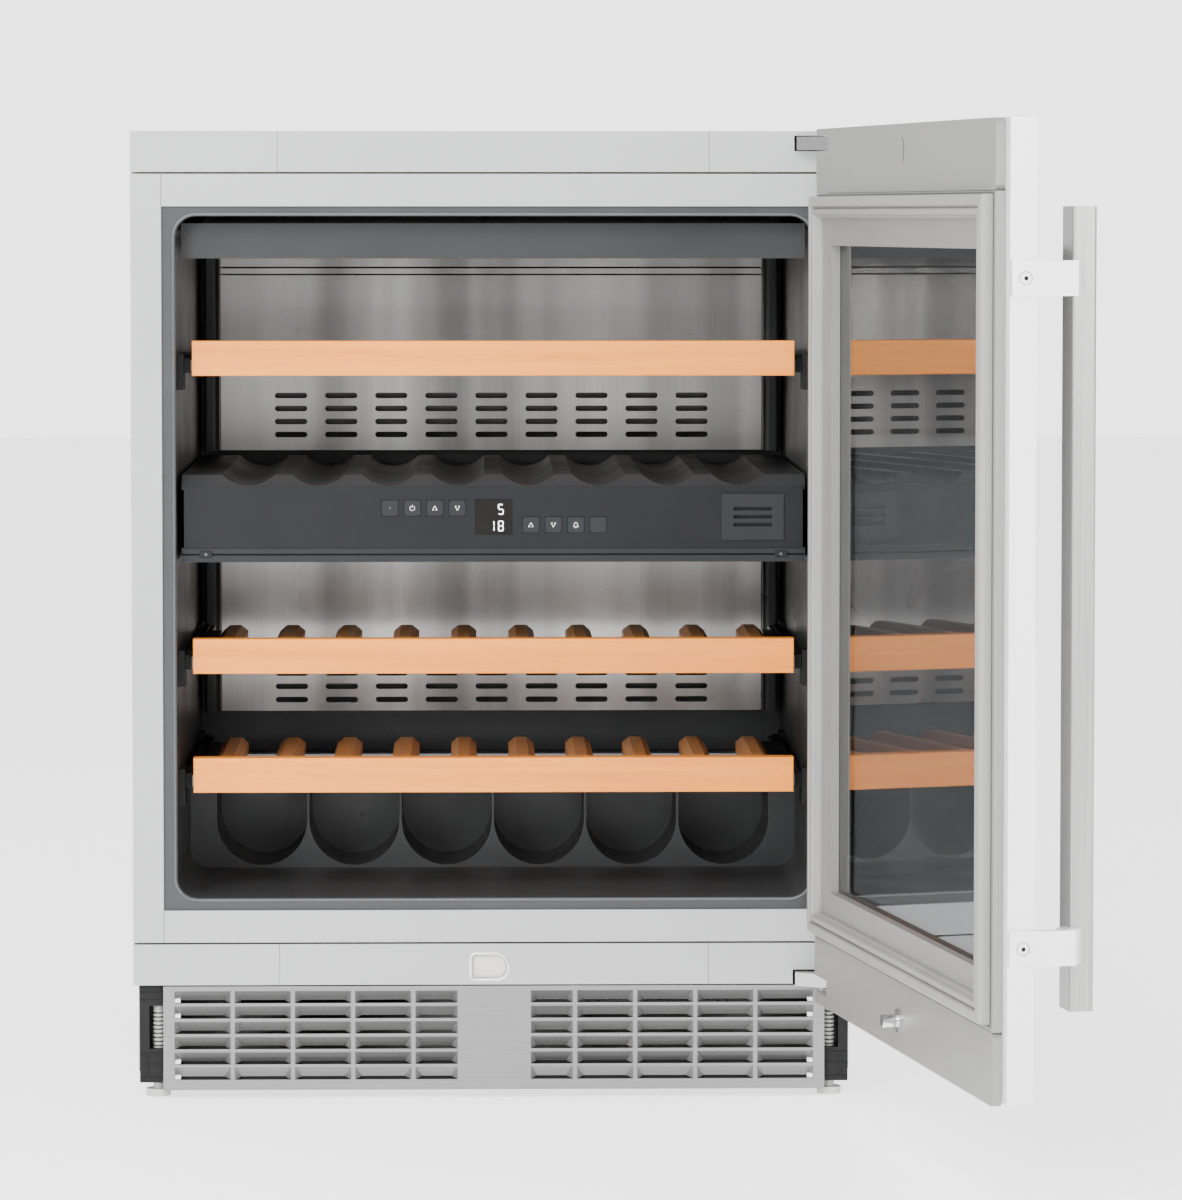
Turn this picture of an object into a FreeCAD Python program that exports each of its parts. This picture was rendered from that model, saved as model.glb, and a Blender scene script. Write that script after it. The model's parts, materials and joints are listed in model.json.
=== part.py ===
import FreeCAD, Part
import Sketcher
import math
import os
from FreeCAD import Placement, Rotation, Vector

# Under-counter wine cabinet with two temperature zones, three telescopic shelves and a glass door.
# Cabinet coordinates: X to the right, Y from the front frame's face to the back, Z up from the floor.
# The last step of every node moves it back by the footprint's middle, so the origin of the finished
# part is on the floor in the centre of its four feet. Door pieces are drawn shut and then swung open.

os.makedirs("parts", exist_ok=True)
doc = FreeCAD.newDocument("wine_cooler")
sheet = doc.addObject("Spreadsheet::Sheet", "dims")

NUMBERS = {
    # cabinet
    "body_width": 597, "body_top": 799.7, "body_depth": 530, "sheet_metal": 1.2,
    "frame_depth": 22, "frame_gap": 1.5, "rail_split": 177.5,
    "top_rail_bottom": 766.2, "cross_top": 764.6, "cross_top_bottom": 738,
    "cross_low_top": 156.2, "cross_low_bottom": 129.7, "low_rail_top": 128.1, "low_rail_bottom": 94.2,
    "stile_inner": 273, "shell_bottom": 94,
    # inner liner
    "cavity_half": 262, "cavity_floor": 166, "cavity_roof": 730, "cavity_back": 470,
    "liner_wall": 2.5, "flange_half": 272.8, "flange_front": 3, "corner_radius": 17,
    "hump_front": 230, "hump_top": 246, "channel_radius": 39, "channel_pitch": 80, "channel_end": 330,
    "bay_front": 345, "bay_roof": 212,
    # steel back panels
    "back_face": 430, "panel_half": 243, "panel_sheet": 1, "slot_pitch": 45, "slot_width": 29,
    "slot_height": 5, "slot_columns": 9,
    "upper_panel_bottom": 520, "upper_panel_top": 700, "upper_slot_low": 534, "upper_slot_step": 11.7,
    "lower_panel_bottom": 285, "lower_panel_top": 440, "lower_slot_low": 295, "lower_slot_step": 12,
    # divider with the controls
    "fascia_front": 15, "fascia_sheet": 3, "fascia_half": 256, "fascia_bottom": 456, "fascia_top": 507,
    "cradle_half": 258, "cradle_bottom": 500, "cradle_top": 516, "cradle_back": 421,
    "trough_pitch": 58, "trough_radius": 32, "trough_depth": 8.5,
    "divider_bottom": 444, "divider_sheet": 6,
    "button_side": 13.4, "button_tall": 12.8, "button_play": 0.3,
    "button_left": -85.9, "button_right": 30.8, "button_pitch": 18.6,
    "left_row": 488.8, "right_row": 474.8,
    "display_half": 15.5, "display_bottom": 466.7, "display_top": 496.3,
    "filter_left": 188.8, "filter_right": 240.2, "filter_bottom": 462.2, "filter_top": 500.4,
    # shelves
    "strip_half": 249.3, "strip_front": 20, "strip_thick": 18, "strip_tall": 29,
    "slat_count": 10, "slat_width": 22, "slat_tall": 13, "slat_drop": 9, "slat_end": 310,
    "shelf_one": 598, "shelf_two": 351, "shelf_three": 252,
    "rail_tall": 12, "rail_start": 42, "rail_end": 400,
    # plinth, feet, hinges
    "grille_half": 274, "grille_bottom": 6.5, "grille_top": 93, "cell_pitch": 49.85, "cell_width": 46.5,
    "cell_tall": 10.3, "row_pitch": 12.75, "row_top": 89.2, "row_count": 6, "narrow_width": 35,
    "foot_half": 279, "foot_front": 20, "foot_back": 500, "pad_radius": 10, "pad_tall": 6,
    "spindle_radius": 4.4, "spindle_top": 84,
    "pivot_x": 284, "pivot_y": -30, "pin_radius": 3, "pin_play": 0.05,
    "arm_high": 784, "arm_low": 94, "arm_tall": 11,
    # door, drawn shut
    "door_open": 99.55, "door_bottom": 86.5, "door_top": 801, "door_outer": -37.3, "door_mid": -17.5,
    "cover_face": -10, "window_half": 232, "window_bottom": 180, "window_top": 706,
    "cover_half": 286, "border_bottom": 138, "border_top": 748.2, "cover_low": 83.6, "cover_high": 800.9,
    "gasket_half": 278, "gasket_bottom": 143, "gasket_top": 746, "gasket_band": 18, "gasket_face": -0.5,
    "pane_half": 245, "pane_bottom": 168, "pane_top": 718, "pane_thick": 4,
    "bar_left": -287.4, "bar_right": -257.4, "bar_near": -67.3, "bar_far": -85.3,
    "bar_bottom": 152, "bar_top": 737,
}

for row, (name, value) in enumerate(NUMBERS.items(), start=1):
    sheet.set(f"A{row}", name)
    sheet.set(f"B{row}", str(value))
    sheet.setAlias(f"B{row}", name)


class Dim:
    """A length with the spreadsheet expression that gives it."""

    def __init__(self, value, text):
        self.value = value
        self.text = text

    def __add__(self, other):
        other = dim(other)
        return Dim(self.value + other.value, f"({self.text} + {other.text})")

    def __sub__(self, other):
        other = dim(other)
        return Dim(self.value - other.value, f"({self.text} - {other.text})")

    def __mul__(self, factor):
        factor = dim(factor)
        return Dim(self.value * factor.value, f"({self.text} * {factor.text})")

    def __truediv__(self, factor):
        factor = dim(factor)
        return Dim(self.value / factor.value, f"({self.text} / {factor.text})")

    def __neg__(self):
        return self * -1

    def __radd__(self, other):
        return dim(other) + self

    def __rsub__(self, other):
        return dim(other) - self

    def __rmul__(self, other):
        return self * other


def dim(value):
    """The value itself if it is a Dim, or a plain number made into one."""
    if isinstance(value, Dim):
        return value
    return Dim(float(value), f"({float(value)})")


class Sheet:
    """The spreadsheet's cells by name."""

    def __getattr__(self, name):
        return Dim(float(NUMBERS[name]), f"dims.{name}")


d = Sheet()
nodes = {}
serial = [0]


def fresh(kind):
    """A name for an inner piece that no other object has."""
    serial[0] += 1
    return f"{kind}_{serial[0]}"


def bind(obj, prop, value):
    """Drive one property from the sheet."""
    obj.setExpression(prop, dim(value).text)


def block(x0, x1, y0, y1, z0, z1):
    """A box between two corners."""
    obj = doc.addObject("Part::Box", fresh("block"))
    for side, low, high in (("Length", x0, x1), ("Width", y0, y1), ("Height", z0, z1)):
        bind(obj, side, dim(high) - low)
    for axis, low in (("x", x0), ("y", y0), ("z", z0)):
        bind(obj, f"Placement.Base.{axis}", low)
    return obj


TURNS = {
    "X": Rotation(Vector(0, 1, 0), 90),
    "Y": Rotation(Vector(1, 0, 0), -90),
    "Z": Rotation(),
}


def rod(axis, x, y, z, radius, length):
    """A cylinder from its start point along +X, +Y or +Z."""
    obj = doc.addObject("Part::Cylinder", fresh("rod"))
    obj.Placement = Placement(Vector(), TURNS[axis])
    bind(obj, "Radius", radius)
    bind(obj, "Height", length)
    for letter, value in (("x", x), ("y", y), ("z", z)):
        bind(obj, f"Placement.Base.{letter}", value)
    return obj


def fuse(pieces):
    """Several pieces as one solid."""
    obj = doc.addObject("Part::MultiFuse", fresh("fuse"))
    obj.Shapes = pieces
    obj.Refine = True
    return obj


def cut(base, tools):
    """A piece with others taken out of it."""
    tool = tools[0]
    if len(tools) > 1:
        tool = doc.addObject("Part::MultiFuse", fresh("tools"))
        tool.Shapes = tools
    obj = doc.addObject("Part::Cut", fresh("cut"))
    obj.Base = base
    obj.Tool = tool
    obj.Refine = True
    return obj


ROLES = {"XY": "XY_Plane", "XZ": "XZ_Plane", "YZ": "YZ_Plane"}


def outline_sketch(body, plane, start, outlines, circles=(), slots=()):
    """A sketch on one of the body's own planes, set back to where its feature starts."""
    sketch = body.newObject("Sketcher::SketchObject", fresh("sketch"))
    support = next(f for f in body.Origin.OriginFeatures if f.Role == ROLES[plane])
    sketch.AttachmentSupport = [(support, "")]
    sketch.MapMode = "FlatFace"
    height = -dim(start) if plane == "XZ" else dim(start)
    bind(sketch, "AttachmentOffset.Base.z", height)

    def fix(kind, geometry, point, value):
        index = sketch.addConstraint(Sketcher.Constraint(kind, -1, 1, geometry, point, value.value))
        sketch.setExpression(f"Constraints[{index}]", value.text)

    for outline in outlines:
        points = [(dim(u), dim(v)) for u, v in outline]
        corners = [Vector(u.value, v.value, 0) for u, v in points]
        first = sketch.GeometryCount
        for here, there in zip(corners, corners[1:] + corners[:1]):
            sketch.addGeometry(Part.LineSegment(here, there), False)
        for step, (u, v) in enumerate(points):
            before = first + (step - 1) % len(points)
            sketch.addConstraint(Sketcher.Constraint("Coincident", before, 2, first + step, 1))
            fix("DistanceX", first + step, 1, u)
            fix("DistanceY", first + step, 1, v)
    for u, v, radius in circles:
        u, v, radius = dim(u), dim(v), dim(radius)
        circle = Part.Circle(Vector(u.value, v.value, 0), Vector(0, 0, 1), radius.value)
        index = sketch.addGeometry(circle, False)
        fix("DistanceX", index, 3, u)
        fix("DistanceY", index, 3, v)
        size = sketch.addConstraint(Sketcher.Constraint("Radius", index, radius.value))
        sketch.setExpression(f"Constraints[{size}]", radius.text)
    for u, v, long_side, short_side in slots:
        u, v, reach = dim(u), dim(v), (dim(long_side) - short_side) / 2
        radius = dim(short_side) / 2
        right = Vector(u.value + reach.value, v.value, 0)
        left = Vector(u.value - reach.value, v.value, 0)
        up = Vector(0, radius.value, 0)
        first = sketch.GeometryCount
        quarter = math.pi / 2
        round_right = Part.Circle(right, Vector(0, 0, 1), radius.value)
        round_left = Part.Circle(left, Vector(0, 0, 1), radius.value)
        sketch.addGeometry(Part.ArcOfCircle(round_right, -quarter, quarter), False)
        sketch.addGeometry(Part.ArcOfCircle(round_left, quarter, 3 * quarter), False)
        sketch.addGeometry(Part.LineSegment(right + up, left + up), False)
        sketch.addGeometry(Part.LineSegment(left - up, right - up), False)
        for one, end, two, start_point in ((0, 2, 2, 1), (2, 2, 1, 1), (1, 2, 3, 1), (3, 2, 0, 1)):
            sketch.addConstraint(Sketcher.Constraint("Tangent", first + one, end, first + two, start_point))
        fix("DistanceX", first, 3, u + reach)
        fix("DistanceY", first, 3, v)
        fix("DistanceX", first + 1, 3, u - reach)
        size = sketch.addConstraint(Sketcher.Constraint("Radius", first, radius.value))
        sketch.setExpression(f"Constraints[{size}]", radius.text)
    return sketch


def pad(body, plane, start, end, outlines, circles=(), slots=()):
    """Material from start to end along the plane's axis."""
    sketch = outline_sketch(body, plane, start, outlines, circles, slots)
    feature = body.newObject("PartDesign::Pad", fresh("pad"))
    feature.Profile = sketch
    feature.Reversed = plane == "XZ"
    bind(feature, "Length", dim(end) - start)
    return feature


def pocket(body, plane, start, end, outlines, circles=(), slots=()):
    """Material taken out from start to end along the plane's axis."""
    sketch = outline_sketch(body, plane, start, outlines, circles, slots)
    feature = body.newObject("PartDesign::Pocket", fresh("pocket"))
    feature.Profile = sketch
    feature.Reversed = plane != "XZ"
    bind(feature, "Length", dim(end) - start)
    return feature


def row_of(body, feature, count, pitch):
    """The feature again at equal steps along the sketch's horizontal axis."""
    pattern = body.newObject("PartDesign::LinearPattern", fresh("row"))
    pattern.Originals = [feature]
    pattern.Direction = (feature.Profile[0], ["H_Axis"])
    bind(pattern, "Occurrences", count)
    bind(pattern, "Length", (dim(count) - 1) * pitch)
    body.Tip = pattern
    return pattern


def rect(u0, u1, v0, v1):
    """The four corners of a rectangle."""
    return [(u0, v0), (u1, v0), (u1, v1), (u0, v1)]


def new_body():
    """An empty PartDesign body."""
    return doc.addObject("PartDesign::Body", fresh("body"))


def plate(plane, start, end, outlines, circles=(), slots=()):
    """A body with one pad."""
    body = new_body()
    pad(body, plane, start, end, outlines, circles, slots)
    return body


def fillet(body, pick, radius):
    """Round the edges of the body's last feature that pick chooses by their ends."""
    doc.recompute()
    tip = body.Tip
    names = [f"Edge{i}" for i, edge in enumerate(tip.Shape.Edges, start=1) if pick(edge)]
    feature = body.newObject("PartDesign::Fillet", fresh("fillet"))
    feature.Base = (tip, names)
    bind(feature, "Radius", radius)
    body.Tip = feature
    return feature


def along(axis):
    """A test for straight edges that run along an axis."""
    way = {"X": Vector(1, 0, 0), "Y": Vector(0, 1, 0), "Z": Vector(0, 0, 1)}[axis]

    def test(edge):
        run = edge.Vertexes[-1].Point - edge.Vertexes[0].Point
        return run.Length > 1 and abs(run.normalize().dot(way)) > 0.999

    return test


footprint_mid = (d.foot_front + d.foot_back) / 2


def finish_node(label, pieces, on_door=False):
    """One node from its pieces, set back to the footprint's middle and, on the door, swung open."""
    if len(pieces) == 1 and pieces[0].TypeId == "PartDesign::Body":
        node = pieces[0]
    else:
        node = doc.addObject("Part::Compound", fresh("node"))
        node.Links = pieces
    node.Label = label
    if on_door:
        node.Placement = Placement(Vector(), Rotation(Vector(0, 0, 1), d.door_open.value))
        turn = d.door_open.text
        node.setExpression("Placement.Rotation.Angle", f"{turn} * 1 deg")
        x, y = d.pivot_x.text, d.pivot_y.text
        cosine, sine = f"cos({turn} * 1 deg)", f"sin({turn} * 1 deg)"
        node.setExpression("Placement.Base.x", f"{x} - ({x} * {cosine} - {y} * {sine})")
        shift = f"{y} - ({x} * {sine} + {y} * {cosine}) - {footprint_mid.text}"
        node.setExpression("Placement.Base.y", shift)
    else:
        bind(node, "Placement.Base.y", -footprint_mid)
    nodes[label] = node
    return node


half = d.body_width / 2

# ---------------------------------------------------------------- outer shell
sides = []
for side in (-1, 1):
    outer, inner = half * side, (half - d.sheet_metal) * side
    low, high = (outer, inner) if side < 0 else (inner, outer)
    outline = rect(d.frame_depth + 0.3, d.body_depth - 2, d.shell_bottom, d.body_top - 1.4)
    sides.append(plate("YZ", low, high, [outline]))
finish_node("side_panels", sides)

shell_inner = half - d.sheet_metal - 0.1
top = plate("XY", d.body_top - 1.3, d.body_top - 0.1,
            [rect(-half, half, d.frame_depth + 0.3, d.body_depth)])
finish_node("top_panel", [top])

rear = plate("XZ", d.body_depth - 1.9, d.body_depth - 0.7,
             [rect(-shell_inner, shell_inner, 20, d.body_top - 1.5)])
vent = pocket(rear, "XZ", d.body_depth - 2, d.body_depth, [],
              slots=[(-220, 68 + 16 * i, 60, 6) for i in range(7)])
row_of(rear, vent, 6, 88)
pocket(rear, "XZ", d.body_depth - 3, d.body_depth + 1, [rect(-40.5, -7.5, 29.5, 54.5)])
finish_node("rear_panel", [rear])

pan = new_body()
pad(pan, "XY", 18, 19.5, [rect(-shell_inner + 1, shell_inner - 1, 34, d.body_depth - 3)])
wall_top = d.shell_bottom - 0.4
pad(pan, "XY", 19.5, wall_top, [rect(-shell_inner + 1, -shell_inner + 2.5, 34, d.body_depth - 3)])
pad(pan, "XY", 19.5, wall_top, [rect(shell_inner - 2.5, shell_inner - 1, 34, d.body_depth - 3)])
pocket(pan, "XY", 10, 30, [],
       circles=[(d.foot_half * side, y, d.spindle_radius + 2)
                for side in (-1, 1) for y in (d.foot_back,)])
finish_node("base_pan", [pan])

# ---------------------------------------------------------------- liner and insulation
wall = d.liner_wall
step_back = d.channel_end + wall
liner = new_body()
pad(liner, "YZ", -(d.cavity_half + wall), d.cavity_half + wall, [[
    (d.flange_front, d.cavity_floor - wall), (step_back, d.cavity_floor - wall),
    (step_back, d.hump_top - wall), (d.cavity_back + wall, d.hump_top - wall),
    (d.cavity_back + wall, d.cavity_roof + wall), (d.flange_front, d.cavity_roof + wall),
]])
pad(liner, "XZ", d.flange_front, d.flange_front + 3,
    [rect(-d.flange_half, d.flange_half, d.cross_low_top + 0.2, d.cross_top_bottom - 0.2)])
pocket(liner, "YZ", -d.cavity_half, d.cavity_half, [[
    (0, d.cavity_floor), (d.hump_front, d.cavity_floor), (d.hump_front, d.hump_top),
    (d.cavity_back, d.hump_top), (d.cavity_back, d.cavity_roof), (0, d.cavity_roof),
]])
channel_z = d.cavity_floor + 2 + d.channel_radius
channel = pocket(liner, "XZ", d.hump_front - 1, d.channel_end, [[
    (d.channel_pitch * -2.5 - d.channel_radius, channel_z),
    (d.channel_pitch * -2.5 + d.channel_radius, channel_z),
    (d.channel_pitch * -2.5 + d.channel_radius, d.hump_top + 1),
    (d.channel_pitch * -2.5 - d.channel_radius, d.hump_top + 1),
]])
row_of(liner, channel, 6, d.channel_pitch)
channel = pocket(liner, "XZ", d.hump_front - 1, d.channel_end, [],
                 circles=[(d.channel_pitch * -2.5, channel_z, d.channel_radius)])
row_of(liner, channel, 6, d.channel_pitch)


def cavity_corner(edge):
    """The long front-to-back edges in the cavity's four corners."""
    if not along("Y")(edge) or edge.Length < 100:
        return False
    point = edge.Vertexes[0].Point
    high = abs(point.z - d.cavity_roof.value) < 0.1
    low = abs(point.z - d.cavity_floor.value) < 0.1
    return abs(abs(point.x) - d.cavity_half.value) < 0.1 and (high or low)


fillet(liner, cavity_corner, d.corner_radius)
finish_node("inner_liner", [liner])

foam = new_body()
pad(foam, "YZ", -shell_inner, shell_inner, [[
    (d.frame_depth + 0.4, d.low_rail_top + 2), (d.bay_front, d.low_rail_top + 2),
    (d.bay_front, d.bay_roof), (d.body_depth - 2.2, d.bay_roof),
    (d.body_depth - 2.2, d.body_top - 1.6), (d.frame_depth + 0.4, d.body_top - 1.6),
]])
pocket(foam, "YZ", -(d.cavity_half + wall + 0.1), d.cavity_half + wall + 0.1, [[
    (0, d.cavity_floor - wall - 0.1), (step_back + 0.1, d.cavity_floor - wall - 0.1),
    (step_back + 0.1, d.hump_top - wall - 0.1), (d.cavity_back + wall + 0.1, d.hump_top - wall - 0.1),
    (d.cavity_back + wall + 0.1, d.cavity_roof + wall + 0.1), (0, d.cavity_roof + wall + 0.1),
]])
finish_node("insulation_foam", [foam])

# ---------------------------------------------------------------- steel back panels and air ducts
for label, low, high, first, step, rows, cap_z in (
    ("back_panel_upper", d.upper_panel_bottom, d.upper_panel_top, d.upper_slot_low,
     d.upper_slot_step, 4, 550),
    ("back_panel_lower", d.lower_panel_bottom, d.lower_panel_top, d.lower_slot_low,
     d.lower_slot_step, 3, 311),
):
    panel = plate("XZ", d.back_face, d.back_face + d.panel_sheet,
                  [rect(-d.panel_half, d.panel_half, low, high)])
    slots = [(d.slot_pitch * -4, first + step * i, d.slot_width, d.slot_height) for i in range(rows)]
    vent = pocket(panel, "XZ", d.back_face - 1, d.back_face + 3, [], slots=slots)
    row_of(panel, vent, d.slot_columns, d.slot_pitch)
    cap = rod("Y", 222, d.back_face - 3, cap_z, 6.3, 2.95)
    finish_node(label, [panel, cap])

fascia_top = new_body()
pad(fascia_top, "YZ", -d.cradle_half, d.cradle_half, [[
    (28, 695), (31, 695), (31, 716), (d.back_face - 8, 716), (d.back_face - 8, 719), (31, 719),
    (31, 724), (28, 724),
]])
finish_node("upper_fascia", [fascia_top])

coils = [
    block(-200, 200, 458, 464, 536, 690),
    block(-200, 200, 458, 464, 300, 430),
]
finish_node("evaporator_plates", coils)


def fan(x, y, z, radius, hub, depth, blades):
    """A hub with pitched blades standing round it, turning about +Y."""
    pieces = [rod("Y", x, y, z, hub, depth)]
    chord, thick, pitch = 0.7 * depth.value, 1.5, 35
    for step in range(blades):
        blade = doc.addObject("Part::Box", fresh("blade"))
        turn = Rotation(Vector(0, 1, 0), 360 / blades * step + 11)
        pitched = turn.multiply(Rotation(Vector(1, 0, 0), pitch))
        corner = turn.multVec(Vector(hub.value * 0.8, 0, 0))
        corner = corner + pitched.multVec(Vector(0, -chord / 2, -thick / 2))
        blade.Placement = Placement(Vector(), pitched)
        bind(blade, "Length", radius - hub * 0.8)
        bind(blade, "Width", depth * 0.7)
        bind(blade, "Height", thick)
        for letter, centre, off in (("x", x, corner.x), ("y", y + depth / 2, corner.y), ("z", z, corner.z)):
            bind(blade, f"Placement.Base.{letter}", centre + off)
        pieces.append(blade)
    fused = fuse(pieces)
    fused.Refine = False
    return fused


for label, z in (("circulation_fan_upper", 610), ("circulation_fan_lower", 370)):
    rotor = fan(dim(0), dim(436), dim(z), dim(36), dim(12), dim(14), 7)
    finish_node(label, [rotor])

# ---------------------------------------------------------------- cooling machine in the bay
dome = new_body()
pad(dome, "XY", 34, 176, [], circles=[(-150, 440, 58)])
fillet(dome, lambda edge: abs(edge.BoundBox.ZMin - edge.BoundBox.ZMax) < 0.01, 22)
plinth = block(-225, -75, 385, 495, 26, 33.9)
mounts = [rod("Z", x, y, 19.6, 8, 6.3) for x in (-212, -88) for y in (398, 482)]
finish_node("compressor", [dome, plinth] + mounts)

fins = [block(40 + 9 * i, 41 + 9 * i, 380, 420, 24, 190) for i in range(20)]
tubes = [rod("X", 34, 400, 40 + 26 * i, 4, 185) for i in range(6)]
finish_node("condenser", [fuse(fins + tubes)])

rotor = fan(dim(120), dim(440), dim(108), dim(60), dim(18), dim(22), 5)
finish_node("condenser_fan", [rotor])

inlet_face = d.body_depth - 0.8
socket = cut(block(-40, -8, inlet_face - 16, inlet_face, 30, 54),
             [block(-36, -12, inlet_face - 13, inlet_face + 1, 34, 50)])
blades = [block(x - 1, x + 1, inlet_face - 14, inlet_face - 3, 39, 45) for x in (-31, -24, -17)]
finish_node("power_inlet", [fuse([socket] + blades)])

# ---------------------------------------------------------------- front frame
depth = d.frame_depth


def folded(x0, x1, low, high):
    """A folded sheet channel with its face at the front and its hollow side at the back."""
    piece = plate("XZ", 0, depth, [rect(x0, x1, low, high)])
    fold = d.sheet_metal
    pocket(piece, "XZ", fold, depth + 1, [rect(x0 + fold, x1 - fold, low + fold, high - fold)])
    return piece


def slotted_rail(low, high, slot_low, receiver):
    """A rail in three pieces with a slot for the hinge arm in its right end piece."""
    pieces = []
    seam = 0.2
    split = d.rail_split
    for x0, x1 in ((-half, -split - seam), (-split + seam, split - seam), (split + seam, half)):
        piece = folded(x0, x1, low, high)
        if x1 is half:
            pocket(piece, "XZ", -1, depth + 1, [rect(247.5, 272.5, slot_low - 0.7, slot_low + 12)])
        if receiver and x0.value < 0 < x1.value:
            pocket(piece, "XZ", -1, depth + 1, [rect(-21, 13, 96.5, 121.5)])
        pieces.append(piece)
    return pieces


finish_node("top_rail", slotted_rail(d.top_rail_bottom, d.body_top, d.arm_high, False))
finish_node("bottom_rail", slotted_rail(d.low_rail_bottom, d.low_rail_top, d.arm_low, True))

inner_frame = []
for low, high in ((d.cross_top_bottom, d.cross_top), (d.cross_low_bottom, d.cross_low_top)):
    inner_frame.append(folded(-d.stile_inner + 0.2, d.stile_inner - 0.2, low, high))
for side in (-1, 1):
    low, high = sorted((half * side, d.stile_inner * side), key=lambda item: item.value)
    stile = folded(low, high, d.cross_low_bottom, d.cross_top)
    fillet(stile, lambda edge: along("Z")(edge) and edge.Vertexes[0].Point.y < 0.1, 1)
    inner_frame.append(stile)
finish_node("inner_frame", inner_frame)

cup = new_body()
pad(cup, "XZ", -0.4, 16, [rect(-20.8, 12.7, 96.7, 121.2)])
pocket(cup, "XZ", -1, 14.5, [rect(-18.8, 10.7, 98.7, 119.2)])
finish_node("latch_receiver", [cup])

# ---------------------------------------------------------------- divider, controls and filter
front = d.fascia_front
back = d.fascia_front + d.fascia_sheet
fascia = plate("XZ", front, back, [rect(-d.fascia_half, d.fascia_half, d.fascia_bottom, d.fascia_top)])
play = d.button_play
side = d.button_side / 2
tall = d.button_tall / 2
for first, z in ((d.button_left, d.left_row), (d.button_right, d.right_row)):
    opening = rect(first - side - play, first + side + play, z - tall - play, z + tall + play)
    hole = pocket(fascia, "XZ", front - 1, back + 1, [opening])
    row_of(fascia, hole, 4, d.button_pitch)
pocket(fascia, "XZ", front - 1, back + 1, [
    rect(-d.display_half, d.display_half, d.display_bottom, d.display_top),
    rect(d.filter_left + 2, d.filter_right - 2, d.filter_bottom + 2, d.filter_top - 2),
])
finish_node("control_fascia", [fascia])

window = plate("XZ", front + 0.4, back - 0.2, [
    rect(-d.display_half + 0.1, d.display_half - 0.1, d.display_bottom + 0.1, d.display_top - 0.1)])
board = plate("XZ", back + 3.4, back + 5, [rect(-100, 100, d.fascia_bottom + 6, d.fascia_top - 12)])
finish_node("display_unit", [window, board])

BUTTONS = (
    ("button_fan", 0, 0), ("button_power", 0, 1), ("button_upper_up", 0, 2), ("button_upper_down", 0, 3),
    ("button_lower_up", 1, 0), ("button_lower_down", 1, 1), ("button_alarm", 1, 2), ("button_light", 1, 3),
)
for label, group, place in BUTTONS:
    first, z = ((d.button_left, d.left_row), (d.button_right, d.right_row))[group]
    x = first + d.button_pitch * place
    key = plate("XZ", front - 0.6, back + 1, [rect(x - side, x + side, z - tall, z + tall)])
    fillet(key, lambda edge: along("Y")(edge), 1.2)
    finish_node(label, [key])

cover = plate("XZ", front - 1.6, front - 0.1,
              [rect(d.filter_left, d.filter_right, d.filter_bottom, d.filter_top)])
pocket(cover, "XZ", front - 3, front + 1, [],
       slots=[((d.filter_left + d.filter_right) / 2, z, 32, 3) for z in (474.8, 481.4, 488)])
pad(cover, "XZ", front - 0.1, front + 36, [
    rect(d.filter_left + 3, d.filter_left + 4.5, d.filter_bottom + 4, d.filter_top - 4)])
pad(cover, "XZ", front - 0.1, front + 36, [
    rect(d.filter_right - 4.5, d.filter_right - 3, d.filter_bottom + 4, d.filter_top - 4)])
charcoal = block(d.filter_left + 4.6, d.filter_right - 4.6, front + 3, front + 34,
                 d.filter_bottom + 5, d.filter_top - 5)
finish_node("filter_cover", [cover, charcoal])

cradle = new_body()
pad(cradle, "YZ", -d.cradle_half, d.cradle_half, [[
    (back + 0.2, d.cradle_bottom + 4), (d.cradle_back, d.cradle_bottom + 4),
    (d.cradle_back, d.cradle_top), (front + 12, d.cradle_top), (front, d.fascia_top + 0.1),
    (back + 0.2, d.fascia_top + 0.1),
]])
trough = pocket(cradle, "XZ", front - 1, d.cradle_back + 1, [], circles=[
    (d.trough_pitch * -3.5, d.cradle_top - d.trough_depth + d.trough_radius, d.trough_radius)])
row_of(cradle, trough, 8, d.trough_pitch)
finish_node("divider_cradle", [cradle])

base = new_body()
pad(base, "YZ", -d.cradle_half, d.cradle_half, [[
    (front + 2, d.divider_bottom), (d.cradle_back, d.divider_bottom),
    (d.cradle_back, d.divider_bottom + d.divider_sheet), (back + 8, d.divider_bottom + d.divider_sheet),
    (back + 8, d.fascia_bottom - 0.2), (front + 2, d.fascia_bottom - 0.2), (front + 2, 451),
    (front + 6, 451), (front + 6, 449.5), (front + 2, 449.5),
]])
finish_node("divider_base", [base])

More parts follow.
